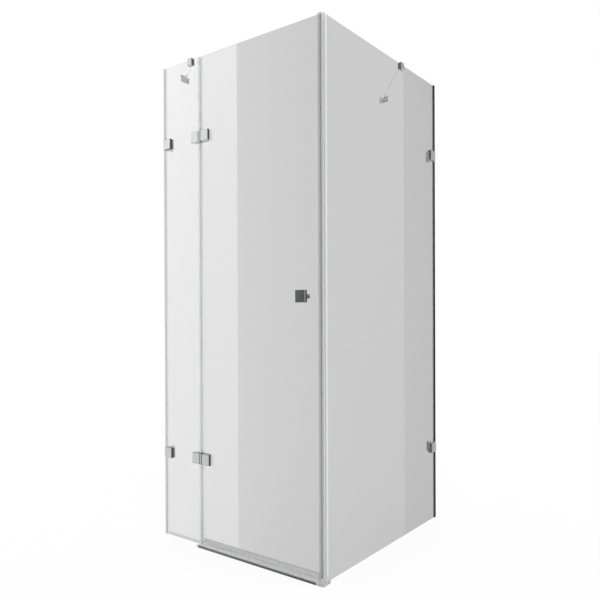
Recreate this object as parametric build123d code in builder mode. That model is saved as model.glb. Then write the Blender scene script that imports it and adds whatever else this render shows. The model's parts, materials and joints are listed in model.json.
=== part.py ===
from build123d import *
import os

# A corner shower cabin of clear toughened glass, in millimetres.
# The origin is on the floor, where the centre lines of the front and side glass cross.
# The front glass line runs to -X and the side glass line to +Y, each as far as its wall.
# The door faces -Y, up is +Z, and the inside of the cabin is towards -X and +Y.

# Glass lines
front_run = 807.0
side_run = 807.0
cabin_height = 1900.0
glass_thickness = 6.0
glass_arris = 0.5
wall_gap = 4.0
fixed_panel_width = 206.0
hinge_gap = 12.0
corner_gap = 14.5

# Heights of the fittings: drops from the top of the glass, rises from the floor
upper_fitting_drop = 311.0
lower_front_fitting_rise = 336.0
lower_side_fitting_rise = 312.0
knob_rise = 958.0

# Wall clamps, each a cover outside and an L-shaped body inside with the glass between
clamp_length = 41.0
clamp_height = 41.0
clamp_cover_thickness = 7.5
clamp_leg_thickness = 8.0
clamp_wall_leg_thickness = 10.0
clamp_wall_leg_reach = 34.5
clamp_inner_radius = 3.0
clamp_screw_bite = 4.5
clamp_tapped_depth = 5.5
wall_screw_radius = 2.75
wall_screw_head_radius = 5.2
gasket_thickness = 1.0
gasket_inset = 0.6
fitting_bevel = 1.1

# Machine screws, their tapped holes and the holes in the glass
screw_radius = 2.5
screw_head_radius = 4.6
screw_hex_radius = 1.7
screw_hex_depth = 1.4
countersink_half_angle = 45.0
hexagon_sides = 6
screw_bite = 6.0
tapped_depth = 7.0
thread_clearance = 0.02
hole_clearance = 0.2
glass_hole_radius = 6.0

# Hinges between the fixed panel and the door
hinge_height = 42.0
hinge_leaf_reach = 47.0
hinge_leaf_thickness = 10.0
hinge_barrel_radius = 5.0
hinge_barrel_flat = 6.8
hinge_groove_width = 1.5
hinge_groove_depth = 3.5
hinge_backplate_reach = 34.0
hinge_backplate_thickness = 6.0
hinge_backplate_gap = 2.0
hinge_screw_reach = 23.0
hinge_screw_offset = 10.0
knuckle_height = 20.0
knuckle_end_gap = 0.3
hinge_pin_radius = 2.5
hinge_pin_clearance = 0.05
hinge_pin_recess = 0.5

# Seals, clear flexible PVC
seal_wall = 1.5
seal_floor_gap = 1.0
seal_fitting_gap = 1.5
wall_seal_leg = 3.5
wall_seal_flare = 4.0
gap_seal_leg = 10.0
bulb_radius = 4.5
bulb_wall = 1.3
running_gap = 0.6
magnet_seal_leg = 8.0
corner_profile_leg = 15.0
corner_profile_radius = 3.0
corner_chamber_depth = 4.5
magnet_gap = 0.6
magnet_length = 6.4
magnet_clearance = 0.1
corner_top_rise = 4.0
door_seal_top_radius = 3.0
corner_profile_top_radius = 9.0
bottom_seal_leg = 12.0
lip_drop = 4.5
lip_thickness = 1.2
drip_reach = 7.0
drip_thickness = 1.3
sweep_gap = 1.0
seal_joint_gap = 0.3

# Knob on a round stem
knob_size = 43.0
knob_thickness = 12.0
knob_bevel = 1.2
knob_from_edge = 56.5
stem_radius = 8.5
stem_length = 25.0
knob_washer_thickness = 1.0
knob_screw_radius = 3.0
knob_screw_head_radius = 8.0
knob_screw_head_height = 2.5
knob_screw_bite = 6.5
knob_tapped_depth = 8.0
knob_screw_hex_radius = 2.4

# Braces from the top of the fixed glass to the walls
brace_clamp_length = 25.0
brace_clamp_depth = 20.0
brace_clamp_drop = 23.0
brace_clamp_rise = 5.0
brace_pad_thickness = 1.0
brace_bar_radius = 5.0
brace_stud_radius = 2.5
brace_stud_length = 10.0
brace_grub_radius = 2.5
brace_grub_rise = 5.0
brace_flange_width = 46.0
brace_flange_height = 28.0
brace_flange_thickness = 4.0
brace_boss_size = 20.0
brace_boss_length = 10.0
brace_screw_spacing = 33.0
brace_screw_radius = 2.4
front_brace_from_edge = 53.0
front_brace_wall_offset = 104.0
side_brace_from_wall = 286.0
side_brace_wall_offset = 254.0

# Threshold under the door
threshold_height = 8.0
threshold_nose_height = 5.0
threshold_nose_run = 4.0
threshold_front = 33.0
threshold_back = 14.0
threshold_back_height = 6.0
threshold_back_run = 6.0
end_cap_length = 12.0
corner_cap_reach = 17.0
corner_cap_inner_reach = 14.0
corner_cap_tab = 8.0
corner_cap_radius = 5.0
corner_socket_height = 15.5
corner_socket_front = 14.0
corner_socket_door_gap = 1.5
cap_edge_radius = 0.8
slot_gap = 0.3

# How far a cutting shape passes the face that it cuts
overrun = 2.0

# Places that follow from the sizes above
half_glass = glass_thickness / 2
fixed_left = -front_run + wall_gap
fixed_right = fixed_left + fixed_panel_width
door_left = fixed_right + hinge_gap
door_right = -corner_gap
lip_bottom = threshold_height + sweep_gap
door_bottom = lip_bottom + lip_drop + seal_wall
side_front_edge = -half_glass
seal_face = half_glass + seal_wall
pad_face = half_glass + gasket_thickness
upper_height = cabin_height - upper_fitting_drop
corner_top = cabin_height + corner_top_rise
hinge_x = fixed_right + hinge_gap / 2
hinge_y = -pad_face - hinge_leaf_thickness / 2
hinge_plate_start = hinge_barrel_radius + hinge_groove_width
magnet_chamber_face = half_glass + seal_wall + corner_chamber_depth
knob_x = door_right - knob_from_edge
brace_bottom = cabin_height - brace_clamp_drop
brace_top = cabin_height + brace_clamp_rise
brace_height = (brace_bottom + brace_top) / 2
front_brace_from_wall = wall_gap + fixed_panel_width - front_brace_from_edge

# Each glass line as a plane that starts on the floor at the wall and runs towards the corner
front_line = Plane(origin=(-front_run, 0, 0), x_dir=(1, 0, 0), z_dir=(0, 0, 1))
side_line = Plane(origin=(0, side_run, 0), x_dir=(0, -1, 0), z_dir=(0, 0, 1))
# The way into the cabin, as the sign of each plane's own second axis
front_inward = 1
side_inward = -1


def block(line, along, across, heights, mode=Mode.ADD):
    """A straight-sided block: ranges along a glass line, across it and up from the floor."""
    low, high = sorted(across)
    left, right = sorted(along)
    with BuildSketch(line.offset(heights[0])) as foot:
        with Locations(((left + right) / 2, (low + high) / 2)):
            Rectangle(right - left, high - low)
    extrude(foot.sketch, amount=heights[1] - heights[0], mode=mode)


def seat(line, along, across, height, direction):
    """A plane at a point of a glass line that faces across the glass."""
    return Plane(
        origin=line.from_local_coords((along, across, height)),
        x_dir=line.x_dir,
        z_dir=line.y_dir * direction,
    )


def rod(start, radius, length, mode=Mode.ADD):
    """A round bar, or a round hole where it is taken away, from a plane along its normal."""
    with BuildSketch(start) as end:
        Circle(radius)
    extrude(end.sketch, amount=length, mode=mode)


def cone(start, wide, narrow, mode=Mode.ADD):
    """The cone of a countersunk head, from its wide end down to its narrow one."""
    with BuildSketch(start) as mouth:
        Circle(wide)
    extrude(mouth.sketch, amount=wide - narrow, taper=countersink_half_angle, mode=mode)


def hex_socket(start, radius, depth):
    """The hexagonal drive in a screw's head."""
    with BuildSketch(start) as hexagon:
        RegularPolygon(radius, hexagon_sides)
    extrude(hexagon.sketch, amount=depth, mode=Mode.SUBTRACT)


def keep(piece, name):
    """Names a finished piece and writes its file."""
    piece.part.label = name
    export_step(piece.part, f"parts/{name}.step")


def around(height, size):
    """The range of heights of a fitting about its middle."""
    return (height - size / 2, height + size / 2)


os.makedirs("parts", exist_ok=True)

# Each wall clamp: its name, glass line, way in and height
wall_clamps = [
    ("front_upper", front_line, front_inward, upper_height),
    ("front_lower", front_line, front_inward, lower_front_fitting_rise),
    ("side_upper", side_line, side_inward, upper_height),
    ("side_lower", side_line, side_inward, lower_side_fitting_rise),
]
# Each hinge: its name and height
hinges = [("upper", upper_height), ("lower", lower_front_fitting_rise)]
# The way from the pin to each half of a hinge, along the front line
fixed_side = -1
door_side = 1


# Glass panes

clamp_screw_along = (clamp_wall_leg_thickness + clamp_length) / 2
knob_along = front_run + knob_x


def pane(line, along, heights, holes):
    """A toughened glass pane with arrised edges and drilled holes (along, height, radius)."""
    with BuildPart() as glass:
        block(line, along, (-half_glass, half_glass), heights)
        chamfer(glass.edges(), glass_arris)
        for place, height, radius in holes:
            start = seat(line, place, -half_glass - overrun, height, 1)
            rod(start, radius, glass_thickness + overrun * 2, Mode.SUBTRACT)
    return glass


def clamp_holes(side_name):
    """The drilled holes of the wall clamps of one glass line."""
    return [
        (clamp_screw_along, height, glass_hole_radius)
        for name, line, inward, height in wall_clamps
        if name.startswith(side_name)
    ]


def hinge_holes(way):
    """The drilled holes of both hinges in one of the panes that they join."""
    place = front_run + hinge_x + way * hinge_screw_reach
    return [
        (place, height + step, glass_hole_radius)
        for name, height in hinges
        for step in (-hinge_screw_offset, hinge_screw_offset)
    ]


fixed_glass = pane(
    front_line,
    (wall_gap, wall_gap + fixed_panel_width),
    (0, cabin_height),
    clamp_holes("front") + hinge_holes(fixed_side),
)
keep(fixed_glass, "fixed_front_glass")

side_glass = pane(
    side_line,
    (wall_gap, side_run - side_front_edge),
    (0, cabin_height),
    clamp_holes("side"),
)
keep(side_glass, "side_glass")

door_glass = pane(
    front_line,
    (front_run + door_left, front_run + door_right),
    (door_bottom, cabin_height),
    hinge_holes(door_side) + [(knob_along, knob_rise, glass_hole_radius)],
)
keep(door_glass, "door_glass")


# Wall clamps

clamp_inner_face = pad_face + clamp_leg_thickness
clamp_screw_length = clamp_inner_face + pad_face + clamp_screw_bite
wall_screw_across = (clamp_inner_face + clamp_wall_leg_reach) / 2


def clamp_body(line, inward, height):
    """The L-shaped inner half of a wall clamp: one leg on the glass, the other on the wall."""
    low, high = around(height, clamp_height)
    into_cabin = Axis(line.origin, line.y_dir * inward)
    away_from_wall = Axis(line.origin, line.x_dir)
    inner_corner = (clamp_wall_leg_thickness, inward * clamp_inner_face)
    with BuildPart() as body:
        with BuildSketch(line.offset(low)) as outline:
            with BuildLine():
                Polyline(
                    (0, inward * pad_face),
                    (clamp_length, inward * pad_face),
                    (clamp_length, inward * clamp_inner_face),
                    inner_corner,
                    (clamp_wall_leg_thickness, inward * clamp_wall_leg_reach),
                    (0, inward * clamp_wall_leg_reach),
                    close=True,
                )
            make_face()
            corner = line.offset(low).from_local_coords((*inner_corner, 0))
            fillet(outline.vertices().sort_by_distance(corner)[0], clamp_inner_radius)
        extrude(outline.sketch, amount=high - low)
        glass_end = body.faces().sort_by(away_from_wall)[-1]
        chamfer(glass_end.edges().sort_by(into_cabin)[1:], fitting_bevel)
        wall_end = body.faces().sort_by(into_cabin)[-1]
        chamfer(wall_end.edges().sort_by(away_from_wall)[1:], fitting_bevel)
        start = seat(line, clamp_screw_along, inward * clamp_inner_face, height, -inward)
        cone(start, screw_head_radius + hole_clearance, screw_radius, Mode.SUBTRACT)
        rod(start, screw_radius + hole_clearance, clamp_leg_thickness, Mode.SUBTRACT)
        # The wall screw goes in from inside the cabin, its countersunk head in the wall leg
        place = (clamp_wall_leg_thickness, inward * wall_screw_across, height)
        wall_screw_start = Plane(
            origin=line.from_local_coords(place),
            x_dir=(0, 0, 1),
            z_dir=line.x_dir * -1,
        )
        cone(wall_screw_start, wall_screw_head_radius, wall_screw_radius, Mode.SUBTRACT)
        rod(wall_screw_start, wall_screw_radius, clamp_wall_leg_thickness, Mode.SUBTRACT)
    return body


for clamp_name, line, inward, height in wall_clamps:
    with BuildPart() as cover:
        outer_face = -inward * (pad_face + clamp_cover_thickness)
        span = around(height, clamp_height)
        block(line, (0, clamp_length), (-inward * pad_face, outer_face), span)
        face = cover.faces().sort_by(Axis(line.origin, line.y_dir * -inward))[-1]
        chamfer(face.edges(), fitting_bevel)
        start = seat(line, clamp_screw_along, -inward * pad_face, height, -inward)
        rod(start, screw_radius + thread_clearance, clamp_tapped_depth, Mode.SUBTRACT)
    keep(cover, f"{clamp_name}_wall_clamp_cover")
    keep(clamp_body(line, inward, height), f"{clamp_name}_wall_clamp_body")

with BuildPart() as clamp_gaskets:
    for clamp_name, line, inward, height in wall_clamps:
        along = (wall_gap + gasket_inset, clamp_length - gasket_inset)
        span = around(height, clamp_height - gasket_inset * 2)
        for way in (-1, 1):
            block(line, along, (way * half_glass, way * pad_face), span)
            start = seat(line, clamp_screw_along, way * half_glass, height, way)
            rod(start, screw_radius + hole_clearance, gasket_thickness, Mode.SUBTRACT)
keep(clamp_gaskets, "wall_clamp_gaskets")

with BuildPart() as clamp_screws:
    for clamp_name, line, inward, height in wall_clamps:
        start = seat(line, clamp_screw_along, inward * clamp_inner_face, height, -inward)
        cone(start, screw_head_radius, screw_radius)
        rod(start, screw_radius, clamp_screw_length)
        hex_socket(start, screw_hex_radius, screw_hex_depth)
keep(clamp_screws, "wall_clamp_screws")


# Wall seals, a U on the glass edge that flares to the wall, cut to clear the clamps


def wall_seal(line, heights):
    """One length of the flared U between a pane's edge and the wall."""
    tip = wall_gap + wall_seal_leg
    with BuildPart() as seal:
        with BuildSketch(line.offset(heights[0])) as outline:
            with BuildLine():
                Polyline(
                    (0, -seal_face - wall_seal_flare),
                    (tip, -seal_face),
                    (tip, seal_face),
                    (0, seal_face + wall_seal_flare),
                    close=True,
                )
            make_face()
        extrude(outline.sketch, amount=heights[1] - heights[0])
        block(line, (wall_gap, tip + overrun), (-half_glass, half_glass), heights, Mode.SUBTRACT)
    return seal


def seal_spans(lower, upper, fitting_height):
    """The three lengths of a seal below, between and above two fittings."""
    clear = fitting_height / 2 + seal_fitting_gap
    return [
        ("lower", (seal_floor_gap, lower - clear)),
        ("middle", (lower + clear, upper - clear)),
        ("upper", (upper + clear, cabin_height)),
    ]


for level, span in seal_spans(lower_front_fitting_rise, upper_height, clamp_height):
    keep(wall_seal(front_line, span), f"front_wall_seal_{level}")
for level, span in seal_spans(lower_side_fitting_rise, upper_height, clamp_height):
    keep(wall_seal(side_line, span), f"side_wall_seal_{level}")


# Hinges, each with two leaves on one pin and a backplate behind each pane


def hinge_span(way, near, far):
    """A range along the front line from one distance off the pin to another, on one side of it."""
    centre = front_run + hinge_x
    return (centre + way * near, centre + way * far)


def hinge_leaf(way, height):
    """The outer leaf of a hinge: two end knuckles on the fixed side, a middle one on the door."""
    span = around(height, hinge_height)
    middle = around(height, knuckle_height)
    if way == fixed_side:
        spaces = [(middle[0] - knuckle_end_gap, middle[1] + knuckle_end_gap)]
        pin_room = thread_clearance
    else:
        spaces = [(span[0] - overrun, middle[0]), (middle[1], span[1] + overrun)]
        pin_room = hinge_pin_clearance
    half_leaf = hinge_leaf_thickness / 2
    across = (hinge_y - half_leaf, hinge_y + half_leaf)
    past_leaf = (across[0] - overrun, across[1] + overrun)
    with BuildPart() as leaf:
        block(front_line, hinge_span(way, hinge_plate_start, hinge_leaf_reach), across, span)
        chamfer(leaf.faces().sort_by(Axis.Y)[0].edges(), fitting_bevel)
        # A groove outside the cabin parts the plate from the barrel
        web = (across[0] + hinge_groove_depth, across[1])
        block(front_line, hinge_span(way, 0, hinge_plate_start), web, span)
        pin_foot = Plane(origin=(hinge_x, hinge_y, span[0]))
        rod(pin_foot, hinge_barrel_radius, hinge_height)
        # The barrel is flat in front, level with the plates
        front_of_barrel = hinge_span(way, -hinge_barrel_flat / 2, hinge_barrel_flat / 2)
        block(front_line, front_of_barrel, (across[0], hinge_y), span)
        for space in spaces:
            relief = hinge_span(way, -hinge_leaf_thickness, hinge_plate_start)
            block(front_line, relief, past_leaf, space, Mode.SUBTRACT)
        rod(pin_foot, hinge_pin_radius + pin_room, hinge_height, Mode.SUBTRACT)
        for step in (-hinge_screw_offset, hinge_screw_offset):
            place = front_run + hinge_x + way * hinge_screw_reach
            start = seat(front_line, place, -pad_face, height + step, -1)
            rod(start, screw_radius + thread_clearance, tapped_depth, Mode.SUBTRACT)
    return leaf


def hinge_backplate(way, height):
    """The inner plate of a hinge, with two countersunk holes."""
    inner_face = pad_face + hinge_backplate_thickness
    span = hinge_span(way, hinge_backplate_gap / 2, hinge_backplate_reach)
    with BuildPart() as plate:
        block(front_line, span, (pad_face, inner_face), around(height, hinge_height))
        chamfer(plate.faces().sort_by(Axis.Y)[-1].edges(), fitting_bevel)
        for step in (-hinge_screw_offset, hinge_screw_offset):
            place = front_run + hinge_x + way * hinge_screw_reach
            start = seat(front_line, place, inner_face, height + step, -1)
            cone(start, screw_head_radius + hole_clearance, screw_radius, Mode.SUBTRACT)
            rod(start, screw_radius + hole_clearance, hinge_backplate_thickness, Mode.SUBTRACT)
    return plate


def hinge_gaskets(way):
    """The four thin pads between one pane and the metal of both hinges."""
    place = front_run + hinge_x + way * hinge_screw_reach
    with BuildPart() as pads:
        for name, height in hinges:
            span = around(height, hinge_height - gasket_inset * 2)
            for face, reach in ((-1, hinge_leaf_reach), (1, hinge_backplate_reach)):
                along = hinge_span(way, hinge_gap / 2 + gasket_inset, reach - gasket_inset)
                block(front_line, along, (face * half_glass, face * pad_face), span)
                for step in (-hinge_screw_offset, hinge_screw_offset):
                    start = seat(front_line, place, face * half_glass, height + step, face)
                    rod(start, screw_radius + hole_clearance, gasket_thickness, Mode.SUBTRACT)
    return pads


def hinge_screws(way):
    """The four countersunk screws of one pane, driven from inside the cabin."""
    through = hinge_backplate_thickness + gasket_thickness * 2 + glass_thickness
    with BuildPart() as screws:
        for name, height in hinges:
            for step in (-hinge_screw_offset, hinge_screw_offset):
                place = front_run + hinge_x + way * hinge_screw_reach
                inner_face = pad_face + hinge_backplate_thickness
                start = seat(front_line, place, inner_face, height + step, -1)
                cone(start, screw_head_radius, screw_radius)
                rod(start, screw_radius, through + screw_bite)
                hex_socket(start, screw_hex_radius, screw_hex_depth)
    return screws


for hinge_name, height in hinges:
    keep(hinge_leaf(fixed_side, height), f"{hinge_name}_hinge_fixed_leaf")
    keep(hinge_leaf(door_side, height), f"{hinge_name}_hinge_door_leaf")
    keep(hinge_backplate(fixed_side, height), f"{hinge_name}_hinge_fixed_backplate")
    keep(hinge_backplate(door_side, height), f"{hinge_name}_hinge_door_backplate")
    with BuildPart() as pin:
        pin_length = hinge_height - hinge_pin_recess * 2
        foot = Plane(origin=(hinge_x, hinge_y, height - pin_length / 2))
        rod(foot, hinge_pin_radius, pin_length)
        chamfer(pin.edges().filter_by(GeomType.CIRCLE), glass_arris)
    keep(pin, f"{hinge_name}_hinge_pin")

keep(hinge_gaskets(fixed_side), "fixed_hinge_gaskets")
keep(hinge_gaskets(door_side), "door_hinge_gaskets")
keep(hinge_screws(fixed_side), "fixed_hinge_screws")
keep(hinge_screws(door_side), "door_hinge_screws")


# Seal in the gap between the fixed panel and the door, with a soft hollow bulb

bulb_x = door_left - running_gap - bulb_radius

for level, span in seal_spans(lower_front_fitting_rise, upper_height, hinge_height):
    foot_height = max(span[0], lip_bottom)
    with BuildPart() as gap_seal:
        with BuildSketch(Plane.XY.offset(foot_height)):
            with Locations(((fixed_right - gap_seal_leg + bulb_x) / 2, 0)):
                Rectangle(bulb_x - fixed_right + gap_seal_leg, seal_face * 2)
            with Locations((bulb_x, 0)):
                Circle(bulb_radius)
            with Locations((bulb_x, 0)):
                Circle(bulb_radius - bulb_wall, mode=Mode.SUBTRACT)
            with Locations((fixed_right - (gap_seal_leg + overrun) / 2, 0)):
                Rectangle(gap_seal_leg + overrun, glass_thickness, mode=Mode.SUBTRACT)
        extrude(amount=span[1] - foot_height)
    keep(gap_seal, f"hinge_gap_seal_{level}")


# Magnetic seals at the corner: one on the door's edge, one on the side glass

chamber_height = seal_face * 2
door_chamber_right = -magnet_chamber_face - magnet_gap
door_chamber_left = door_right + seal_wall
magnet_thickness = door_chamber_right - door_chamber_left - seal_wall - magnet_clearance * 2
corner_magnet_thickness = corner_chamber_depth - seal_wall - magnet_clearance * 2


def rounded_top(left, right, left_radius, right_radius, foot):
    """Rounds the top corners of a seal by keeping what lies inside this upright outline."""
    with BuildSketch(Plane.XZ) as outline:
        with BuildLine():
            Polyline(
                (left, foot),
                (right, foot),
                (right, corner_top),
                (left, corner_top),
                close=True,
            )
        make_face()
        top_left = outline.vertices().group_by(Axis.Y)[-1].sort_by(Axis.X)[0]
        top_right = outline.vertices().group_by(Axis.Y)[-1].sort_by(Axis.X)[-1]
        if left_radius:
            fillet(top_left, left_radius)
        if right_radius:
            fillet(top_right, right_radius)
    extrude(outline.sketch, amount=corner_profile_leg, both=True, mode=Mode.INTERSECT)


with BuildPart() as door_magnet_seal:
    with BuildSketch(Plane.XY.offset(lip_bottom)):
        with Locations(((door_right - magnet_seal_leg + door_chamber_right) / 2, 0)):
            Rectangle(door_chamber_right - door_right + magnet_seal_leg, chamber_height)
        with Locations((door_right - (magnet_seal_leg + overrun) / 2, 0)):
            Rectangle(magnet_seal_leg + overrun, glass_thickness, mode=Mode.SUBTRACT)
        with Locations(((door_chamber_left + door_chamber_right - seal_wall) / 2, 0)):
            Rectangle(
                door_chamber_right - seal_wall - door_chamber_left,
                magnet_length + magnet_clearance * 2,
                mode=Mode.SUBTRACT,
            )
    extrude(amount=corner_top - lip_bottom)
    seal_left = door_right - magnet_seal_leg
    rounded_top(seal_left, door_chamber_right, door_seal_top_radius, 0, lip_bottom)
keep(door_magnet_seal, "door_magnet_seal")

with BuildPart() as door_magnet:
    with BuildSketch(Plane.XY.offset(lip_bottom)):
        with Locations(((door_chamber_left + door_chamber_right - seal_wall) / 2, 0)):
            Rectangle(magnet_thickness, magnet_length)
    extrude(amount=cabin_height - lip_bottom)
keep(door_magnet, "door_magnet_strip")

with BuildPart() as corner_seal:
    with BuildSketch(Plane.XY.offset(seal_floor_gap)):
        clip_back = side_front_edge + corner_profile_leg
        with Locations((0, (clip_back + side_front_edge - seal_wall) / 2)):
            Rectangle(seal_face * 2, clip_back - side_front_edge + seal_wall)
        with Locations((-(seal_face + magnet_chamber_face) / 2, 0)):
            Rectangle(magnet_chamber_face - seal_face, chamber_height)
        with Locations((0, side_front_edge + (corner_profile_leg + overrun) / 2)):
            Rectangle(glass_thickness, corner_profile_leg + overrun, mode=Mode.SUBTRACT)
        with Locations((-seal_face - (corner_chamber_depth - seal_wall) / 2, 0)):
            Rectangle(
                corner_chamber_depth - seal_wall,
                magnet_length + magnet_clearance * 2,
                mode=Mode.SUBTRACT,
            )
    extrude(amount=corner_top - seal_floor_gap)
    outer_corner = (seal_face, side_front_edge - seal_wall, corner_top / 2)
    fillet(
        corner_seal.edges().filter_by(Axis.Z).sort_by_distance(outer_corner)[0],
        corner_profile_radius,
    )
    rounded_top(-magnet_chamber_face, seal_face, 0, corner_profile_top_radius, seal_floor_gap)
keep(corner_seal, "corner_magnet_profile")

with BuildPart() as corner_magnet:
    with BuildSketch(Plane.XY.offset(seal_floor_gap)):
        with Locations((-seal_face - (corner_chamber_depth - seal_wall) / 2, 0)):
            Rectangle(corner_magnet_thickness, magnet_length)
    extrude(amount=cabin_height - seal_floor_gap)
keep(corner_magnet, "corner_magnet_strip")


# Seal under the door: a clip on the glass, two wiping lips and a drip rail inside

bottom_seal_left = door_left + running_gap
bottom_seal_right = door_right - magnet_seal_leg - seal_joint_gap
clip_floor = door_bottom - seal_wall

with BuildPart() as bottom_seal:
    with BuildSketch(Plane.YZ.offset(bottom_seal_left)):
        with Locations((0, (clip_floor + door_bottom + bottom_seal_leg) / 2)):
            Rectangle(seal_face * 2, seal_wall + bottom_seal_leg)
        with Locations((0, door_bottom + (bottom_seal_leg + overrun) / 2)):
            Rectangle(glass_thickness, bottom_seal_leg + overrun, mode=Mode.SUBTRACT)
        for way in (-1, 1):
            with Locations((way * (seal_face - lip_thickness / 2), (lip_bottom + clip_floor) / 2)):
                Rectangle(lip_thickness, clip_floor - lip_bottom)
        with BuildLine():
            Polyline(
                (seal_face, clip_floor + seal_wall),
                (seal_face + drip_reach, lip_bottom + drip_thickness),
                (seal_face + drip_reach, lip_bottom),
                (seal_face, clip_floor),
                close=True,
            )
        make_face()
    extrude(amount=bottom_seal_right - bottom_seal_left)
keep(bottom_seal, "door_bottom_seal")


# Knob: a square plate on a round stem, held by one screw from inside

stem_outer_end = half_glass + knob_washer_thickness + stem_length

with BuildPart() as knob_plate:
    plate_range = (knob_along - knob_size / 2, knob_along + knob_size / 2)
    across = (-stem_outer_end, -stem_outer_end - knob_thickness)
    block(front_line, plate_range, across, around(knob_rise, knob_size))
    chamfer(knob_plate.edges(), knob_bevel)
    start = seat(front_line, knob_along, -stem_outer_end, knob_rise, -1)
    rod(start, knob_screw_radius + thread_clearance, knob_tapped_depth, Mode.SUBTRACT)
keep(knob_plate, "knob_plate")

with BuildPart() as knob_stem:
    start = seat(front_line, knob_along, -half_glass - knob_washer_thickness, knob_rise, -1)
    rod(start, stem_radius, stem_length)
    rod(start, knob_screw_radius + hole_clearance, stem_length, Mode.SUBTRACT)
keep(knob_stem, "knob_stem")

with BuildPart() as knob_washers:
    for way in (-1, 1):
        start = seat(front_line, knob_along, way * half_glass, knob_rise, way)
        rod(start, stem_radius, knob_washer_thickness)
        rod(start, knob_screw_radius + hole_clearance, knob_washer_thickness, Mode.SUBTRACT)
keep(knob_washers, "knob_washers")

with BuildPart() as knob_screw:
    start = seat(front_line, knob_along, half_glass + knob_washer_thickness, knob_rise, 1)
    rod(start, knob_screw_head_radius, knob_screw_head_height)
    chamfer(knob_screw.faces().sort_by(Axis.Y)[-1].edges(), glass_arris)
    shank = seat(front_line, knob_along, half_glass + knob_washer_thickness, knob_rise, -1)
    rod(shank, knob_screw_radius, pad_face + stem_outer_end + knob_screw_bite)
    head = half_glass + knob_washer_thickness + knob_screw_head_height
    drive = seat(front_line, knob_along, head, knob_rise, -1)
    hex_socket(drive, knob_screw_hex_radius, screw_hex_depth)
keep(knob_screw, "knob_screw")


# Braces: a clamp over the top of the glass, a slanting bar and a flange on the wall

# Each brace: its name, glass line, way in, and its two distances along glass and wall
braces = [
    ("front", front_line, front_inward, front_brace_from_wall, front_brace_wall_offset),
    ("side", side_line, side_inward, side_brace_from_wall, side_brace_wall_offset),
]
half_clamp = brace_clamp_depth / 2
slot_half = half_glass + brace_pad_thickness
boss_end = brace_flange_thickness + brace_boss_length


def brace_axis(line, inward, from_wall, wall_offset):
    """The bar's two ends: on the clamp's back and on the front of the wall flange's boss."""
    start = line.from_local_coords((from_wall, inward * half_clamp, brace_height))
    end = line.from_local_coords((boss_end, inward * wall_offset, brace_height))
    return start, end


def stud_pair(start, end, radius, mode=Mode.ADD):
    """The hidden studs, or their holes, half in each end of a brace's bar."""
    way = (end - start).normalized()
    for middle in (start, end):
        foot = Plane(origin=middle - way * (brace_stud_length / 2), z_dir=way)
        rod(foot, radius, brace_stud_length, mode)


for brace_name, line, inward, from_wall, wall_offset in braces:
    start, end = brace_axis(line, inward, from_wall, wall_offset)
    way = (end - start).normalized()
    clamp_range = (from_wall - brace_clamp_length / 2, from_wall + brace_clamp_length / 2)

    with BuildPart() as clamp:
        block(line, clamp_range, (-half_clamp, half_clamp), (brace_bottom, brace_top))
        chamfer(clamp.edges(), fitting_bevel)
        slot_range = (clamp_range[0] - overrun, clamp_range[1] + overrun)
        slot_heights = (brace_bottom - overrun, cabin_height + brace_pad_thickness)
        block(line, slot_range, (-slot_half, slot_half), slot_heights, Mode.SUBTRACT)
        grub_height = brace_bottom + brace_grub_rise
        grub = seat(line, from_wall, inward * slot_half, grub_height, inward)
        rod(grub, brace_grub_radius + thread_clearance, half_clamp, Mode.SUBTRACT)
        stud_pair(start, end, brace_stud_radius + hole_clearance, Mode.SUBTRACT)
    keep(clamp, f"{brace_name}_brace_clamp")

    with BuildPart() as bar:
        reach = brace_clamp_length
        length = (end - start).length + reach * 2
        rod(Plane(origin=start - way * reach, z_dir=way), brace_bar_radius, length)
        split(bisect_by=Plane(origin=start, z_dir=line.y_dir * inward), keep=Keep.TOP)
        split(bisect_by=Plane(origin=end, z_dir=line.x_dir), keep=Keep.TOP)
        stud_pair(start, end, brace_stud_radius + hole_clearance, Mode.SUBTRACT)
    keep(bar, f"{brace_name}_brace_bar")

    with BuildPart() as flange:
        middle = inward * wall_offset
        wide = (middle - brace_flange_width / 2, middle + brace_flange_width / 2)
        block(line, (0, brace_flange_thickness), wide, around(brace_height, brace_flange_height))
        front = flange.faces().sort_by(Axis(line.origin, line.x_dir))[-1]
        chamfer(front.edges(), fitting_bevel)
        boss = (middle - brace_boss_size / 2, middle + brace_boss_size / 2)
        block(line, (0, boss_end), boss, around(brace_height, brace_boss_size))
        front = flange.faces().sort_by(Axis(line.origin, line.x_dir))[-1]
        chamfer(front.edges(), fitting_bevel)
        for side in (-1, 1):
            place = middle + side * brace_screw_spacing / 2
            wall_point = line.from_local_coords((0, place, brace_height))
            hole = Plane(origin=wall_point, x_dir=(0, 0, 1), z_dir=line.x_dir)
            rod(hole, brace_screw_radius, brace_flange_thickness, Mode.SUBTRACT)
        stud_pair(start, end, brace_stud_radius + hole_clearance, Mode.SUBTRACT)
    keep(flange, f"{brace_name}_brace_wall_flange")

with BuildPart() as pads:
    for brace_name, line, inward, from_wall, wall_offset in braces:
        along = (from_wall - brace_clamp_length / 2, from_wall + brace_clamp_length / 2)
        pad_heights = (brace_bottom, cabin_height + brace_pad_thickness)
        block(line, along, (-slot_half, slot_half), pad_heights)
        slot_range = (along[0] - overrun, along[1] + overrun)
        glass_heights = (brace_bottom - overrun, cabin_height)
        block(line, slot_range, (-half_glass, half_glass), glass_heights, Mode.SUBTRACT)
keep(pads, "brace_clamp_pads")

with BuildPart() as grubs:
    for brace_name, line, inward, from_wall, wall_offset in braces:
        grub_height = brace_bottom + brace_grub_rise
        tip = seat(line, from_wall, inward * slot_half, grub_height, inward)
        rod(tip, brace_grub_radius, half_clamp - slot_half)
        drive = seat(line, from_wall, inward * half_clamp, grub_height, -inward)
        hex_socket(drive, screw_hex_radius, screw_hex_depth)
keep(grubs, "brace_grub_screws")

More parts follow.
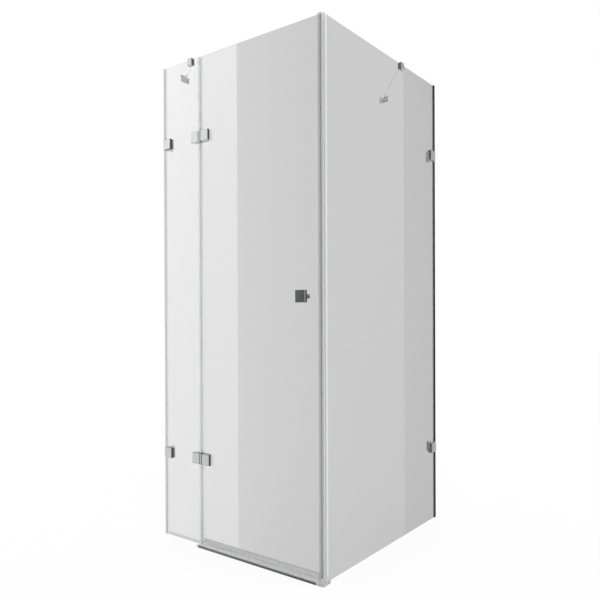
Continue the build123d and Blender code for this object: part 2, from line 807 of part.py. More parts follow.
with BuildPart() as studs:
    for brace_name, line, inward, from_wall, wall_offset in braces:
        start, end = brace_axis(line, inward, from_wall, wall_offset)
        stud_pair(start, end, brace_stud_radius)
keep(studs, "brace_studs")


# Threshold: an aluminium rail under the door with a cap at each end

rail_left = fixed_right + slot_gap + end_cap_length
rail_right = -corner_cap_inner_reach

with BuildPart() as rail:
    with BuildSketch(Plane.YZ.offset(rail_left)):
        with BuildLine():
            Polyline(
                (-threshold_front, 0),
                (-threshold_front, threshold_nose_height),
                (-threshold_front + threshold_nose_run, threshold_height),
                (threshold_back - threshold_back_run, threshold_height),
                (threshold_back, threshold_back_height),
                (threshold_back, 0),
                close=True,
            )
        make_face()
    extrude(amount=rail_right - rail_left)
keep(rail, "threshold_rail")

with BuildPart() as left_cap:
    with BuildSketch(Plane.XY):
        with Locations((rail_left - end_cap_length / 2, (threshold_back - threshold_front) / 2)):
            Rectangle(end_cap_length, threshold_front + threshold_back)
    extrude(amount=threshold_height)
    fillet(left_cap.faces().sort_by(Axis.Z)[-1].edges(), cap_edge_radius)
keep(left_cap, "threshold_left_cap")

with BuildPart() as corner_cap:
    with BuildSketch(Plane.XY) as plan:
        with BuildLine():
            Polyline(
                (rail_right, -threshold_front),
                (corner_cap_reach, -threshold_front),
                (corner_cap_reach, corner_cap_tab),
                (seal_face + slot_gap, corner_cap_tab),
                (seal_face + slot_gap, -seal_face - slot_gap),
                (-magnet_chamber_face - slot_gap, -seal_face - slot_gap),
                (-magnet_chamber_face - slot_gap, threshold_back),
                (rail_right, threshold_back),
                close=True,
            )
        make_face()
        outer = plan.vertices().sort_by(Axis.Y)[:2].sort_by(Axis.X)[-1]
        fillet(outer, corner_cap_radius)
    extrude(amount=threshold_height)
    # The raised socket round the foot of the corner profile, clear of the door's seal
    with BuildSketch(Plane.XY) as socket:
        with BuildLine():
            Polyline(
                (corner_socket_door_gap - magnet_chamber_face, -corner_socket_front),
                (corner_cap_reach, -corner_socket_front),
                (corner_cap_reach, corner_cap_tab),
                (seal_face + slot_gap, corner_cap_tab),
                (seal_face + slot_gap, -seal_face - slot_gap),
                (corner_socket_door_gap - magnet_chamber_face, -seal_face - slot_gap),
                close=True,
            )
        make_face()
        outer = socket.vertices().sort_by(Axis.Y)[:2].sort_by(Axis.X)[-1]
        fillet(outer, corner_cap_radius)
    extrude(socket.sketch, amount=corner_socket_height)
    fillet(corner_cap.faces().sort_by(Axis.Z)[-1].edges(), cap_edge_radius)
keep(corner_cap, "threshold_corner_cap")
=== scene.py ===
"""Finishes, small details and studio for a corner shower cabin of clear glass."""

import json
import math

import bpy
from bpy.props import FloatProperty, FloatVectorProperty, PointerProperty
from mathutils import Matrix, Vector


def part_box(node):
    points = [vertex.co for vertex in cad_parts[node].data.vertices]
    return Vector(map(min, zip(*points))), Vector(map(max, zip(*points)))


bl_info = {
    "name": "Shower Cabin",
    "version": (1, 0, 0),
    "blender": (4, 5, 0),
    "location": "View3D > Sidebar > Shower Cabin",
    "description": "Finishes and studio of a corner shower cabin with a hinged glass door",
    "category": "Object",
}

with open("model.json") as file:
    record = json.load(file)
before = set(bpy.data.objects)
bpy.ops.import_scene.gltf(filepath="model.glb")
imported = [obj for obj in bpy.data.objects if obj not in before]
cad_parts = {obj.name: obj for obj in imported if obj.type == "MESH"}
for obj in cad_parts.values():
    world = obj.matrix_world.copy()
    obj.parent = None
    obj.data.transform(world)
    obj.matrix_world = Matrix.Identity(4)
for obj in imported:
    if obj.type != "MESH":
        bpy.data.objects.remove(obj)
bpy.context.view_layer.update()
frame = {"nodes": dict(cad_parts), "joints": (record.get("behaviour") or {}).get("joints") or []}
nodes = frame["nodes"]
MM = 0.001

# The hinge line's X and the Y of the hinge leaves' buffed front, in metres
hinge_line = frame["joints"][0]["pos_m"][0]
leaf_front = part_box("upper_hinge_fixed_leaf")[0].y

# Scale of a line pattern along its lines, which draws them out 50 times
LINE_SCALE = 0.02

# Sockets of a Mix node set to colours, which share their names with the sockets of its other kinds
SHARE = 0
FIRST = 6
SECOND = 7
MIXED = 2


# Shared helpers

def linear(code):
    """Linear colour of an sRGB hex value."""
    shares = [int(code[i:i + 2], 16) / 255 for i in (1, 3, 5)]
    return [s / 12.92 if s <= 0.04045 else ((s + 0.055) / 1.055) ** 2.4 for s in shares] + [1.0]


def add_node(tree, kind, settings=None, inputs=None):
    """Adds a node, sets it up and fills or links its inputs."""
    node = tree.nodes.new(kind)
    for name, value in (settings or {}).items():
        setattr(node, name, value)
    for name, value in (inputs or {}).items():
        if isinstance(value, bpy.types.NodeSocket):
            tree.links.new(value, node.inputs[name])
        else:
            node.inputs[name].default_value = value
    return node


def new_material(name):
    """An empty node material."""
    material = bpy.data.materials.new(name)
    material.use_nodes = True
    material.node_tree.nodes.clear()
    return material


def dress(material, names):
    """Gives carried-over CAD nodes a material."""
    for name in names:
        piece = nodes[name]
        piece.data.materials.clear()
        piece.data.materials.append(material)


def stand_clear(names, gap):
    """Draws seals' and pads' faces in by a hair, so that none lies in one plane with the glass it grips."""
    for name in names:
        ease = nodes[name].modifiers.new("hair_gap", "DISPLACE")
        ease.direction = "NORMAL"
        ease.mid_level = 0.0
        ease.strength = -gap


def matching(*words):
    """Names of the CAD nodes that contain one of the words."""
    return [name for name in nodes if any(word in name for word in words)]


def colour_setting(name, description, code):
    """A colour that a user may change, given as an sRGB hex value."""
    return FloatVectorProperty(
        name=name, description=description, default=linear(code), size=4, min=0, max=1, subtype="COLOR")


def share_setting(name, description, default):
    """A value from 0 to 1 that a user may change."""
    return FloatProperty(name=name, description=description, default=default, min=0, max=1, subtype="FACTOR")


def length_setting(name, description, size, least=0.0):
    """A length that a user may change, given in millimetres."""
    return FloatProperty(
        name=name, description=description, default=size * MM, min=least * MM, precision=5, unit="LENGTH")


def angle_setting(name, description, degrees):
    """An angle that a user may change."""
    return FloatProperty(name=name, description=description, default=math.radians(degrees), subtype="ANGLE")


# Finishes. Each pattern lies on its piece and turns with it, and only the rail's, which never moves, lies in
# the room

def float_glass(name, face_axis, look):
    """Toughened float glass, 6 mm: drawn flat on tin, cut, edge-ground and polished, heated and quenched.
    It is clear with a grey cast, its faces mirror faintly with a slow roller wave, and its polished edges let
    less light through than its faces."""
    material = new_material(name)
    tree = material.node_tree
    place = add_node(tree, "ShaderNodeTexCoord")
    surface = add_node(tree, "ShaderNodeNewGeometry")
    # The pane's own directions, so that its faces stay faces when the door turns
    turned = add_node(tree, "ShaderNodeVectorTransform", {
        "vector_type": "NORMAL", "convert_from": "WORLD", "convert_to": "OBJECT"}, {
        "Vector": surface.outputs["True Normal"]})
    sides = add_node(tree, "ShaderNodeSeparateXYZ", inputs={"Vector": turned.outputs[0]})
    squareness = add_node(tree, "ShaderNodeMath", {"operation": "ABSOLUTE"}, {0: sides.outputs[face_axis]})
    # A face looks squarely along its axis, and an edge doesn't
    edge = add_node(tree, "ShaderNodeMapRange", inputs={
        "Value": squareness.outputs[0], "From Min": 0.98, "From Max": 0.90})
    wave = add_node(tree, "ShaderNodeTexNoise", inputs={
        "Vector": place.outputs["Object"], "Scale": 1 / look.wave_length, "Detail": 1.0})
    bump = add_node(tree, "ShaderNodeBump", inputs={
        "Strength": 1.0, "Distance": look.wave_depth, "Height": wave.outputs[0]})
    tint = add_node(tree, "ShaderNodeMix", {"data_type": "RGBA"}, {
        SHARE: edge.outputs[0], FIRST: look.face_colour, SECOND: look.edge_colour})
    haze = add_node(tree, "ShaderNodeMath", {"operation": "MULTIPLY"}, {
        0: edge.outputs[0], 1: look.edge_roughness})
    clearness = add_node(tree, "ShaderNodeMapRange", inputs={
        "Value": edge.outputs[0], "To Min": 1.0, "To Max": look.edge_clearness})
    glass = add_node(tree, "ShaderNodeBsdfPrincipled", inputs={
        "Base Color": tint.outputs[MIXED], "Roughness": haze.outputs[0], "IOR": 1.52,
        "Transmission Weight": clearness.outputs[0], "Normal": bump.outputs[0]})
    ray = add_node(tree, "ShaderNodeLightPath")
    clear = add_node(tree, "ShaderNodeBsdfTransparent", inputs={"Color": look.shadow_colour})
    # Seen through the pane from inside, a polished edge lets most of the light straight out
    inner = add_node(tree, "ShaderNodeMath", {"operation": "MULTIPLY"}, {
        0: edge.outputs[0], 1: surface.outputs["Backfacing"]})
    inner = add_node(tree, "ShaderNodeMath", {"operation": "MULTIPLY"}, {
        0: inner.outputs[0], 1: look.inner_clearness})
    through = add_node(tree, "ShaderNodeMath", {"operation": "MAXIMUM"}, {
        0: ray.outputs["Is Shadow Ray"], 1: inner.outputs[0]})
    mix = add_node(tree, "ShaderNodeMixShader", inputs={
        0: through.outputs[0], 1: glass.outputs[0], 2: clear.outputs[0]})
    add_node(tree, "ShaderNodeOutputMaterial", inputs={"Surface": mix.outputs[0]})
    return material


def chrome_plate(name, colour, roughness, look, grooved=False, underside=None):
    """Chrome plate on brass: plated over nickel, then polished, buffed or brushed satin. It mirrors the room
    in neutral grey, sharp to soft by its finish, with faint buffing haze. The grooves beside the hinge barrel
    can be painted near black, a painted shade. An underside can be painted lighter, painted light, to match
    the photograph."""
    material = new_material(name)
    tree = material.node_tree
    place = add_node(tree, "ShaderNodeTexCoord")
    haze = add_node(tree, "ShaderNodeTexNoise", inputs={
        "Vector": place.outputs["Object"], "Scale": 1 / look.haze_size, "Detail": 3.0})
    rough = add_node(tree, "ShaderNodeMapRange", inputs={
        "Value": haze.outputs[0], "From Min": 0.3, "From Max": 0.7,
        "To Min": roughness - look.haze_spread, "To Max": roughness + look.haze_spread})
    peel = add_node(tree, "ShaderNodeTexNoise", inputs={
        "Vector": place.outputs["Object"], "Scale": 1 / look.peel_size, "Detail": 2.0})
    bump = add_node(tree, "ShaderNodeBump", inputs={
        "Strength": 0.4, "Distance": look.peel_depth, "Height": peel.outputs[0]})
    shown = colour
    if grooved:
        spot = add_node(tree, "ShaderNodeSeparateXYZ", inputs={"Vector": place.outputs["Object"]})
        near = add_node(tree, "ShaderNodeMath", {"operation": "COMPARE"}, {
            0: spot.outputs["X"], 1: hinge_line, 2: look.groove_reach})
        # The painted shade fades in between these two depths behind the front
        deep = add_node(tree, "ShaderNodeMapRange", inputs={
            "Value": spot.outputs["Y"], "From Min": leaf_front + 0.4 * MM, "From Max": leaf_front + 1.0 * MM})
        groove_shade_mask = add_node(tree, "ShaderNodeMath", {"operation": "MULTIPLY"}, {
            0: near.outputs[0], 1: deep.outputs[0]})
        shown = add_node(tree, "ShaderNodeMix", {"data_type": "RGBA"}, {
            SHARE: groove_shade_mask.outputs[0], FIRST: shown, SECOND: look.groove_painted_shade}).outputs[MIXED]
    if underside:
        # Faces that look down get a lighter colour: painted light
        surface = add_node(tree, "ShaderNodeNewGeometry")
        sides = add_node(tree, "ShaderNodeSeparateXYZ", inputs={"Vector": surface.outputs["True Normal"]})
        below = add_node(tree, "ShaderNodeMapRange", inputs={
            "Value": sides.outputs["Z"], "From Min": -0.6, "From Max": -0.9})
        shown = add_node(tree, "ShaderNodeMix", {"data_type": "RGBA"}, {
            SHARE: below.outputs[0], FIRST: shown, SECOND: underside}).outputs[MIXED]
    metal = add_node(tree, "ShaderNodeBsdfPrincipled", inputs={
        "Base Color": shown, "Metallic": 1.0, "Roughness": rough.outputs[0], "Normal": bump.outputs[0]})
    add_node(tree, "ShaderNodeOutputMaterial", inputs={"Surface": metal.outputs[0]})
    return material


def extruded_pvc(name, colours, densities, look, stripe=None):
    """Soft PVC, extruded: the pane shows through it, it turns darker and denser where it is seen edge on, and
    die lines run upright, which is along every seal but the level bottom one. A stripe gives the section
    beyond
    one place another colour and density: a clear grade on the front wall seals, a painted highlight on the
    corner profile and painted shade on the side wall seals. The stripe gives its axis, where it starts and is
    full in millimetres, its colour and its density."""
    material = new_material(name)
    tree = material.node_tree
    place = add_node(tree, "ShaderNodeTexCoord")
    along = add_node(tree, "ShaderNodeMapping", inputs={
        "Vector": place.outputs["Object"], "Scale": (1.0, 1.0, LINE_SCALE)})
    lines = add_node(tree, "ShaderNodeTexNoise", inputs={
        "Vector": along.outputs[0], "Scale": 1 / look.die_line_size, "Detail": 2.0})
    bump = add_node(tree, "ShaderNodeBump", inputs={
        "Strength": 0.5, "Distance": look.die_line_depth, "Height": lines.outputs[0]})
    tint = add_node(tree, "ShaderNodeMix", {"data_type": "RGBA"}, {
        SHARE: lines.outputs[0], FIRST: colours[0], SECOND: colours[1]})
    edge_on = add_node(tree, "ShaderNodeLayerWeight", inputs={"Blend": 0.5})
    deep = add_node(tree, "ShaderNodeMapRange", inputs={
        "Value": edge_on.outputs["Facing"], "From Min": 0.35, "From Max": 0.65})
    colour = add_node(tree, "ShaderNodeMix", {"data_type": "RGBA"}, {
        SHARE: deep.outputs[0], FIRST: tint.outputs[MIXED], SECOND: colours[2]}).outputs[MIXED]
    density = add_node(tree, "ShaderNodeMapRange", inputs={
        "Value": deep.outputs[0], "To Min": densities[0], "To Max": densities[1]}).outputs[0]
    if stripe:
        axis, start, full, second_colour, second_density = stripe
        depth = add_node(tree, "ShaderNodeSeparateXYZ", inputs={"Vector": place.outputs["Object"]})
        # The stripe paints a highlight or a shade on some seals
        second = add_node(tree, "ShaderNodeMapRange", inputs={
            "Value": depth.outputs[axis], "From Min": start * MM, "From Max": full * MM})
        colour = add_node(tree, "ShaderNodeMix", {"data_type": "RGBA"}, {
            SHARE: second.outputs[0], FIRST: colour, SECOND: second_colour}).outputs[MIXED]
        density = add_node(tree, "ShaderNodeMapRange", inputs={
            "Value": second.outputs[0], "To Min": density, "To Max": second_density}).outputs[0]
    body = add_node(tree, "ShaderNodeBsdfPrincipled", inputs={
        "Base Color": colour, "Roughness": look.roughness, "IOR": 1.53,
        "Alpha": density, "Normal": bump.outputs[0]})
    add_node(tree, "ShaderNodeOutputMaterial", inputs={"Surface": body.outputs[0]})
    return material


def magnet_rubber(look):
    """Plastic-bonded ferrite, rolled into strip: matt pale grey with a fine grain."""
    material = new_material("bonded_ferrite_strip")
    tree = material.node_tree
    place = add_node(tree, "ShaderNodeTexCoord")
    grain = add_node(tree, "ShaderNodeTexNoise", inputs={
        "Vector": place.outputs["Object"], "Scale": 1 / look.magnet_grain_size, "Detail": 4.0})
    tint = add_node(tree, "ShaderNodeMix", {"data_type": "RGBA"}, {
        SHARE: grain.outputs[0], FIRST: look.magnet_colour, SECOND: look.magnet_grain})
    bump = add_node(tree, "ShaderNodeBump", inputs={
        "Strength": 0.5, "Distance": 0.05 * MM, "Height": grain.outputs[0]})
    rubber = add_node(tree, "ShaderNodeBsdfPrincipled", inputs={
        "Base Color": tint.outputs[MIXED], "Roughness": 0.75, "IOR": 1.6, "Normal": bump.outputs[0]})
    add_node(tree, "ShaderNodeOutputMaterial", inputs={"Surface": rubber.outputs[0]})
    return material


def silicone_pad(look):
    """Silicone rubber, punched from sheet: milky, matt and slightly see-through."""
    material = new_material("punched_silicone")
    tree = material.node_tree
    place = add_node(tree, "ShaderNodeTexCoord")
    bloom = add_node(tree, "ShaderNodeTexNoise", inputs={
        "Vector": place.outputs["Object"], "Scale": 1 / look.pad_bloom_size, "Detail": 3.0})
    tint = add_node(tree, "ShaderNodeMix", {"data_type": "RGBA"}, {
        SHARE: bloom.outputs[0], FIRST: look.pad_colour, SECOND: look.pad_bloom})
    bump = add_node(tree, "ShaderNodeBump", inputs={
        "Strength": 0.3, "Distance": 0.03 * MM, "Height": bloom.outputs[0]})
    rubber = add_node(tree, "ShaderNodeBsdfPrincipled", inputs={
        "Base Color": tint.outputs[MIXED], "Roughness": 0.55, "IOR": 1.41, "Transmission Weight": 0.3,
        "Normal": bump.outputs[0]})
    add_node(tree, "ShaderNodeOutputMaterial", inputs={"Surface": rubber.outputs[0]})
    return material


def turned_steel(look):
    """Stainless steel, turned: bright grey with fine tool marks."""
    material = new_material("turned_stainless_steel")
    tree = material.node_tree
    place = add_node(tree, "ShaderNodeTexCoord")
    marks = add_node(tree, "ShaderNodeTexNoise", inputs={
        "Vector": place.outputs["Object"], "Scale": 1 / look.tool_mark_size, "Detail": 3.0})
    rough = add_node(tree, "ShaderNodeMapRange", inputs={
        "Value": marks.outputs[0], "To Min": 0.24, "To Max": 0.38})
    bump = add_node(tree, "ShaderNodeBump", inputs={
        "Strength": 0.4, "Distance": 0.02 * MM, "Height": marks.outputs[0]})
    steel = add_node(tree, "ShaderNodeBsdfPrincipled", inputs={
        "Base Color": look.steel_colour, "Metallic": 1.0, "Roughness": rough.outputs[0],
        "Normal": bump.outputs[0]})
    add_node(tree, "ShaderNodeOutputMaterial", inputs={"Surface": steel.outputs[0]})
    return material


def anodised_aluminium(look):
    """Aluminium, extruded and anodised: the satin top has a soft silver sheen, the bright front edge is
    painted darker, a painted shade, to match the photograph, and draw lines run along its length."""
    material = new_material("bright_anodised_aluminium")
    tree = material.node_tree
    place = add_node(tree, "ShaderNodeNewGeometry")
    along = add_node(tree, "ShaderNodeMapping", inputs={
        "Vector": place.outputs["Position"], "Scale": (LINE_SCALE, 1.0, 1.0)})
    lines = add_node(tree, "ShaderNodeTexNoise", inputs={
        "Vector": along.outputs[0], "Scale": 1 / look.draw_line_size, "Detail": 3.0})
    facing = add_node(tree, "ShaderNodeSeparateXYZ", inputs={"Vector": place.outputs["True Normal"]})
    # Faces that look forward are painted darker: painted shade along the rail's front
    front = add_node(tree, "ShaderNodeMapRange", inputs={
        "Value": facing.outputs["Y"], "From Min": -0.3, "From Max": -0.5})
    tint = add_node(tree, "ShaderNodeMix", {"data_type": "RGBA"}, {
        SHARE: front.outputs[0], FIRST: look.colour, SECOND: look.front_painted_shade})
    satin = add_node(tree, "ShaderNodeMapRange", inputs={
        "Value": front.outputs[0], "To Min": look.roughness, "To Max": look.front_roughness})
    rough = add_node(tree, "ShaderNodeMath", {"operation": "MULTIPLY_ADD"}, {
        0: lines.outputs[0], 1: look.draw_line_roughness, 2: satin.outputs[0]})
    bump = add_node(tree, "ShaderNodeBump", inputs={
        "Strength": 0.4, "Distance": 0.02 * MM, "Height": lines.outputs[0]})
    metal = add_node(tree, "ShaderNodeBsdfPrincipled", inputs={
        "Base Color": tint.outputs[MIXED], "Metallic": 1.0, "Roughness": rough.outputs[0],
        "Normal": bump.outputs[0]})
    add_node(tree, "ShaderNodeOutputMaterial", inputs={"Surface": metal.outputs[0]})
    return material


def moulded_cap(look):
    """ABS, moulded and grained like satin metal: pale grey with a soft shine and a fine grain."""
    material = new_material("moulded_satin_abs")
    tree = material.node_tree
    place = add_node(tree, "ShaderNodeTexCoord")
    grain = add_node(tree, "ShaderNodeTexNoise", inputs={
        "Vector": place.outputs["Object"], "Scale": 1 / look.cap_grain_size, "Detail": 2.0})
    tint = add_node(tree, "ShaderNodeMix", {"data_type": "RGBA"}, {
        SHARE: grain.outputs[0], FIRST: look.cap_colour, SECOND: look.cap_grain})
    bump = add_node(tree, "ShaderNodeBump", inputs={
        "Strength": 0.3, "Distance": 0.03 * MM, "Height": grain.outputs[0]})
    plastic = add_node(tree, "ShaderNodeBsdfPrincipled", inputs={
        "Base Color": tint.outputs[MIXED], "Metallic": 0.5, "Roughness": 0.25, "Normal": bump.outputs[0]})
    add_node(tree, "ShaderNodeOutputMaterial", inputs={"Surface": plastic.outputs[0]})
    return material


# Settings

class CabinGlassLook(bpy.types.PropertyGroup):
    """Look of the glass panes"""
    face_colour: colour_setting("Face colour", "Cast of the pane seen through its faces", "#D3D3D3")
    edge_colour: colour_setting("Edge colour", "Cast of the polished edges", "#F6F8F7")
    shadow_colour: colour_setting("Shadow colour", "Lamp light that a pane lets through", "#F4F5F5")
    edge_roughness: share_setting("Edge roughness", "Roughness of the polished edges", 0.2)
    edge_clearness: share_setting("Edge clearness", "Light that the polished edges let through", 0.2)
    inner_clearness: share_setting("Inner clearness", "Light let straight out of an edge from inside", 0.85)
    wave_length: length_setting("Wave length", "Length of the furnace's roller wave", 280.0, least=1.0)
    wave_depth: length_setting("Wave depth", "Depth of the roller wave", 0.01)


class CabinChromeLook(bpy.types.PropertyGroup):
    """Look of the plated fittings"""
    colour: colour_setting("Plate colour", "Colour of the buffed plate", "#999B9A")
    # The groove colour is painted shade: near black in the hinge grooves
    groove_painted_shade: colour_setting("Groove painted shade", "Painted shade in the hinge grooves", "#141515")
    groove_reach: length_setting("Groove reach", "From the hinge line to a groove's far side", 6.6)
    # The underside colour is painted light on the plate under the hinges and brace clamps
    underside_painted_light: colour_setting("Underside painted light", "Painted light under the hinges and brace clamps", "#F0F1F0")
    knob_colour: colour_setting("Knob colour", "Colour of the knob and the front brace's flange", "#B0B2B1")
    roughness: share_setting("Roughness", "Mean roughness of the buffed plate", 0.22)
    knob_roughness: share_setting("Knob roughness", "Mean roughness of the polished plate", 0.14)
    satin_colour: colour_setting("Satin colour", "Colour of the satin plate inside the cabin", "#E0E2E1")
    satin_roughness: share_setting("Satin roughness", "Mean roughness of the satin plate", 0.5)
    flange_roughness: share_setting("Flange roughness", "Mean roughness of the side brace's flange", 0.42)
    bar_colour: colour_setting("Bar colour", "Colour of the brace bars", "#F2F3F3")
    haze_size: length_setting("Haze size", "Size of the buffing haze", 8.0, least=0.1)
    haze_spread: share_setting("Haze spread", "How far the haze moves the roughness up and down", 0.03)
    peel_size: length_setting("Peel size", "Size of the plate's ripple", 1.5, least=0.1)
    peel_depth: length_setting("Peel depth", "Depth of the plate's ripple", 0.004)


class CabinSealLook(bpy.types.PropertyGroup):
    """Look of the seals, magnets and pads. A density is the share of light that one wall of a seal takes"""
    gap_colour: colour_setting("Gap seal", "Gap and bottom seals seen face on", "#D6D8D8")
    gap_line_colour: colour_setting("Gap seal lines", "Die lines of the gap and bottom seals", "#CACCCC")
    gap_edge_colour: colour_setting("Gap seal edge", "Gap and bottom seals seen edge on", "#A0A3A3")
    gap_density: share_setting("Gap seal density", "Gap and bottom seals seen face on", 0.26)
    gap_edge_density: share_setting("Gap seal edge density", "Gap and bottom seals seen edge on", 0.3)
    door_colour: colour_setting("Door seal", "Door's magnet seal seen face on", "#BEC0C0")
    door_line_colour: colour_setting("Door seal lines", "Die lines of the door's magnet seal", "#B0B3B3")
    door_edge_colour: colour_setting("Door seal edge", "Door's magnet seal seen edge on", "#9A9D9D")
    door_density: share_setting("Door seal density", "Door's magnet seal seen face on", 0.32)
    door_edge_density: share_setting("Door seal edge density", "Door's magnet seal seen edge on", 0.45)
    profile_colour: colour_setting("Profile", "Corner profile seen face on", "#F2F3F3")
    profile_line_colour: colour_setting("Profile lines", "Die lines of the corner profile", "#E8E9E9")
    profile_edge_colour: colour_setting("Profile edge", "Corner profile seen edge on", "#B8BABA")
    profile_density: share_setting("Profile density", "Corner profile seen face on", 0.06)
    profile_edge_density: share_setting("Profile edge density", "Corner profile seen edge on", 0.3)
    wall_colour: colour_setting("Wall seal", "Wall seals seen face on", "#C6C8C8")
    wall_line_colour: colour_setting("Wall seal lines", "Die lines of the wall seals", "#BABDBD")
    wall_edge_colour: colour_setting("Wall seal edge", "Wall seals seen edge on", "#8C8F8F")
    wall_density: share_setting("Wall seal density", "Wall seals seen face on", 0.45)
    wall_edge_density: share_setting("Wall seal edge density", "Wall seals seen edge on", 0.5)
    # The lip is a painted highlight: a nearly opaque white stripe on the corner profile
    profile_highlight_colour: colour_setting("Painted highlight", "Painted highlight on the corner profile", "#FFFFFF")
    profile_highlight_density: share_setting("Lip density", "Painted highlight on the corner profile", 0.9)
    inner_leg_colour: colour_setting("Inner leg", "Front wall seals' clear inner leg", "#F4F5F5")
    inner_leg_density: share_setting("Inner leg density", "Front wall seals' clear inner leg", 0.0)
    # The outer leg colour is painted shade: a near-black stripe at the wall joint
    outer_leg_painted_shade: colour_setting("Outer leg painted shade", "Painted shade on the side wall seals' outer leg", "#0C0D0D")
    outer_leg_shade_density: share_setting("Outer leg painted shade density", "Painted shade on the side wall seals' outer leg", 0.9)
    hair_gap: length_setting("Hair gap", "How far seals and pads stand clear of the glass", 0.05)
    roughness: share_setting("Roughness", "Roughness of the PVC", 0.15)
    die_line_size: length_setting("Die line size", "Spacing of the die lines", 1.2, least=0.1)
    die_line_depth: length_setting("Die line depth", "Depth of the die lines", 0.03)
    magnet_colour: colour_setting("Magnet colour", "Colour of the magnet strip", "#D4D5D5")
    magnet_grain: colour_setting("Magnet grain", "Colour of the magnet's grain", "#C6C7C7")
    magnet_grain_size: length_setting("Magnet grain size", "Size of the magnet's grain", 0.6, least=0.1)
    pad_colour: colour_setting("Pad colour", "Colour of the silicone pads", "#A8AAAA")
    pad_bloom: colour_setting("Pad bloom", "Colour of the pads' milky spots", "#B8BABA")
    pad_bloom_size: length_setting("Pad bloom size", "Size of the pads' milky spots", 3.0, least=0.1)


class CabinMetalLook(bpy.types.PropertyGroup):
    """Look of the threshold and the screws"""
    colour: colour_setting("Rail colour", "Colour of the anodised rail", "#F8F8F8")
    roughness: share_setting("Rail roughness", "Mean roughness of the rail", 0.52)
    # The rail front colour is painted shade on the faces that look forward
    front_painted_shade: colour_setting("Rail front painted shade", "Painted shade on the rail's bright front edge", "#7A7C7C")
    front_roughness: share_setting("Rail front roughness", "Roughness of the rail's front edge", 0.2)
    draw_line_size: length_setting("Draw line size", "Spacing of the rail's draw lines", 0.8, least=0.1)
    draw_line_roughness: share_setting("Draw line roughness", "How much rougher the draw lines are", 0.08)
    cap_colour: colour_setting("Cap colour", "Colour of the end caps", "#EDEEEE")
    cap_grain: colour_setting("Cap grain", "Colour of the caps' grain", "#DADBDB")
    cap_grain_size: length_setting("Cap grain size", "Size of the caps' grain", 0.8, least=0.1)
    steel_colour: colour_setting("Steel colour", "Colour of the screws and pins", "#C4C2BE")
    tool_mark_size: length_setting("Tool mark size", "Spacing of the screws' tool marks", 0.4, least=0.1)


class CabinStudio(bpy.types.PropertyGroup):
    """Camera, lamp, light levels and floor"""
    camera_place: FloatVectorProperty(
        name="Camera place", description="Where the camera stands",
        default=(1.2136, -1.6330, 0.8986), subtype="XYZ", unit="LENGTH")
    camera_turn: FloatVectorProperty(
        name="Camera turn", description="Yaw, pitch and roll of the camera",
        default=(0.619831, -0.004741, -0.003389), subtype="EULER", precision=6)
    lens: FloatProperty(
        name="Lens", description="Focal length on a sensor 36 mm wide", default=36.616, unit="CAMERA")
    shift_x: FloatProperty(name="Shift X", description="Sideways lens shift", default=-0.0601, precision=4)
    shift_y: FloatProperty(name="Shift Y", description="Upward lens shift", default=0.0278, precision=4)
    sky_level: share_setting("Sky level", "World light on matt surfaces", 0.75)
    sun_level: share_setting("Sun level", "Part of the floor's light that the overhead lamp gives", 0.25)
    sun_spread: angle_setting("Sun spread", "Width of the overhead lamp in the sky", 50)
    sun_tilt: angle_setting("Sun tilt", "How far the overhead lamp leans from the plumb line", 20)
    sun_turn: angle_setting("Sun turn", "Direction in which the overhead lamp leans", 35)
    floor_colour: colour_setting("Floor colour", "Colour of the light that the floor throws back", "#E8E8E8")
    floor_shade: share_setting("Floor shade", "Part of the floor's brightness that a shadow can take", 0.16)


# Pieces

class CABIN_OT_glass_panes(bpy.types.Operator):
    """Dress the three glass panes"""
    bl_idname = "cabin.glass_panes"
    bl_label = "Glass Panes"

    def execute(self, context):
        look = context.scene.cabin_glass
        across_x, across_y = 0, 1
        dress(float_glass("toughened_float_glass_front", across_y, look), ("fixed_front_glass", "door_glass"))
        dress(float_glass("toughened_float_glass_side", across_x, look), ("side_glass",))
        return {"FINISHED"}


class CABIN_OT_fittings(bpy.types.Operator):
    """Dress the wall clamps, hinges, knob and braces"""
    bl_idname = "cabin.fittings"
    bl_label = "Plated Fittings"

    def execute(self, context):
        look = context.scene.cabin_chrome
        buffed = look.colour, look.roughness, look
        polished = look.knob_colour, look.knob_roughness, look
        dress(chrome_plate("buffed_chrome_plate", *buffed), matching("clamp_cover", "backplate"))
        dress(chrome_plate("buffed_chrome_plate_on_brace", *buffed, underside=look.underside_painted_light),
              ("front_brace_clamp", "side_brace_clamp"))
        grooved = chrome_plate(
            "buffed_chrome_plate_with_painted_groove_shade", *buffed, grooved=True, underside=look.underside_painted_light)
        dress(grooved, matching("_leaf"))
        dress(chrome_plate("polished_chrome_plate", *polished),
              ("knob_plate", "knob_stem", "front_brace_wall_flange"))
        dress(chrome_plate("satin_chrome_plate", look.satin_colour, look.satin_roughness, look),
              matching("clamp_body"))
        dress(chrome_plate("fine_satin_chrome_plate", look.satin_colour, look.flange_roughness, look),
              ("side_brace_wall_flange",))
        dress(chrome_plate("bright_chrome_tube", look.bar_colour, look.knob_roughness, look),
              matching("brace_bar"))
        return {"FINISHED"}


